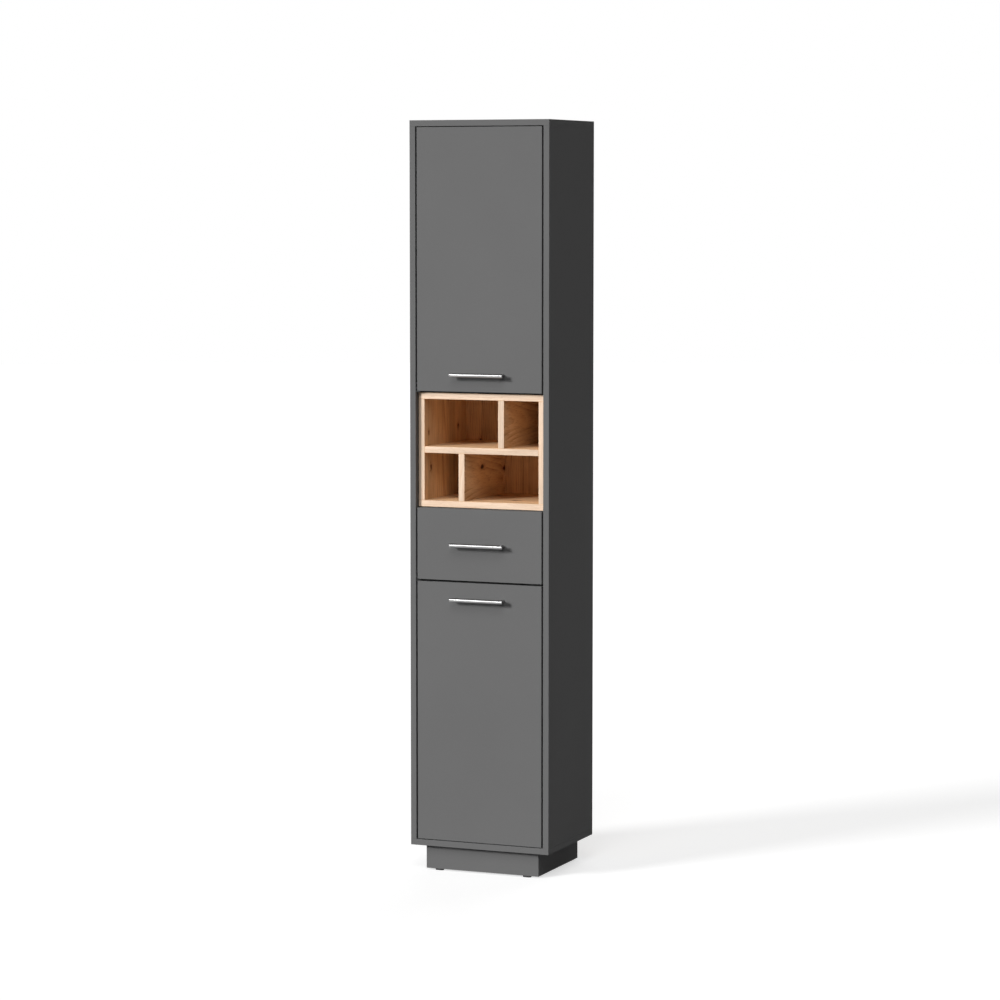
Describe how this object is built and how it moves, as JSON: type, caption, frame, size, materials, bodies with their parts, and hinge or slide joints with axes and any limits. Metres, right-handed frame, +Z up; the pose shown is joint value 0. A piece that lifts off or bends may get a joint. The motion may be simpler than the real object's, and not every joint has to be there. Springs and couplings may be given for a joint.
{
  "type": "tall bathroom cabinet",
  "caption": "Tall floor-standing bathroom cabinet with inset doors on hidden pivot hinges, a drawer on wheeled runners, an open oak niche and a recessed plinth on glides.",
  "frame": {"origin": "on the floor, under the middle of the box that holds the cabinet and its handles", "axes": "+X to the viewer's right, +Y to the wall, +Z up"},
  "size_m": [0.37, 0.325, 1.864],
  "materials": {
    "grey_board": "matt laminated board, graphite grey",
    "grey_front": "matt laminated front with a fine grain, graphite grey",
    "oak_board": "knotty light oak decor, matt",
    "back_panel": "thin fibreboard with a grey face",
    "drawer_board": "plain matt board",
    "dowel_wood": "turned beech",
    "handle_steel": "brushed, satin",
    "pivot_steel": "black coated steel",
    "screw_steel": "zinc plated",
    "runner_steel": "white powder coat",
    "wheel_plastic": "white nylon",
    "glide_plastic": "black plastic",
    "pivot_plastic": "black nylon"
  },
  "bodies": {
    "carcass": {"top_panel": "grey_board", "bottom_panel": "grey_board", "left_side_lower": "grey_board", "left_side_upper": "grey_board", "right_side_lower": "grey_board", "right_side_upper": "grey_board", "drawer_shelf": "grey_board", "niche_floor": "grey_board", "niche_roof": "grey_board", "lower_shelf": "grey_board", "upper_shelf": "grey_board", "plinth_front_board": "grey_board", "plinth_rear_board": "grey_board", "plinth_sides": "grey_board", "shelf_pins": "screw_steel", "cam_locks": "screw_steel", "cam_bolts": "screw_steel", "wall_bracket": "screw_steel", "bracket_screw": "screw_steel", "door_magnets": "screw_steel", "pivot_screws": "screw_steel", "lower_back": "back_panel", "upper_back": "back_panel", "dowels": "dowel_wood", "floor_glides": "glide_plastic", "niche_top_board": "oak_board", "niche_bottom_board": "oak_board", "niche_left_board": "oak_board", "niche_right_board": "oak_board", "niche_middle_shelf": "oak_board", "niche_upper_divider": "oak_board", "niche_lower_divider": "oak_board", "niche_back_board": "oak_board", "end_pivot_plates": "pivot_steel", "pivot_brackets": "pivot_steel", "pivot_washers": "pivot_plastic", "cabinet_runners": "runner_steel"},
    "upper_door": {"upper_door_panel": "grey_front", "upper_door_handle": "handle_steel", "upper_handle_screws": "screw_steel", "upper_plate_screws": "screw_steel", "upper_door_striker": "screw_steel", "upper_pivot_plates": "pivot_steel"},
    "lower_door": {"lower_door_panel": "grey_front", "lower_door_handle": "handle_steel", "lower_handle_screws": "screw_steel", "lower_plate_screws": "screw_steel", "lower_door_striker": "screw_steel", "lower_pivot_plates": "pivot_steel"},
    "drawer": {"drawer_front": "grey_front", "drawer_left_side": "drawer_board", "drawer_right_side": "drawer_board", "drawer_back": "drawer_board", "drawer_bottom": "drawer_board", "drawer_handle": "handle_steel", "drawer_handle_screws": "screw_steel", "drawer_runners": "runner_steel"},
    "front_wheels": {"front_wheels": "wheel_plastic"},
    "rear_wheels": {"rear_wheels": "wheel_plastic"}
  },
  "joints": [
    {"name": "upper_door_hinge", "type": "hinge", "parent": "carcass", "child": "upper_door", "pos_m": [-0.1602, -0.132, 1.5235], "axis": [0, 0, -1], "range_deg": [0, 110]},
    {"name": "lower_door_hinge", "type": "hinge", "parent": "carcass", "child": "lower_door", "pos_m": [-0.1602, -0.132, 0.4045], "axis": [0, 0, -1], "range_deg": [0, 110]},
    {"name": "drawer_slide", "type": "slide", "parent": "carcass", "child": "drawer", "axis": [0, -1, 0], "range_m": [0, 0.208]},
    {"name": "front_wheel_spin", "type": "hinge", "parent": "carcass", "child": "front_wheels", "pos_m": [0, -0.1085, 0.7555], "axis": [1, 0, 0], "range_deg": [0, 1490]},
    {"name": "rear_wheel_spin", "type": "hinge", "parent": "drawer", "child": "rear_wheels", "pos_m": [0, 0.1175, 0.7555], "axis": [1, 0, 0], "range_deg": [0, 1490]}
  ],
  "couplings": [
    {"joint": "front_wheel_spin", "follows": "drawer_slide", "rad_per_m": 125},
    {"joint": "rear_wheel_spin", "follows": "drawer_slide", "rad_per_m": 125}
  ]
}
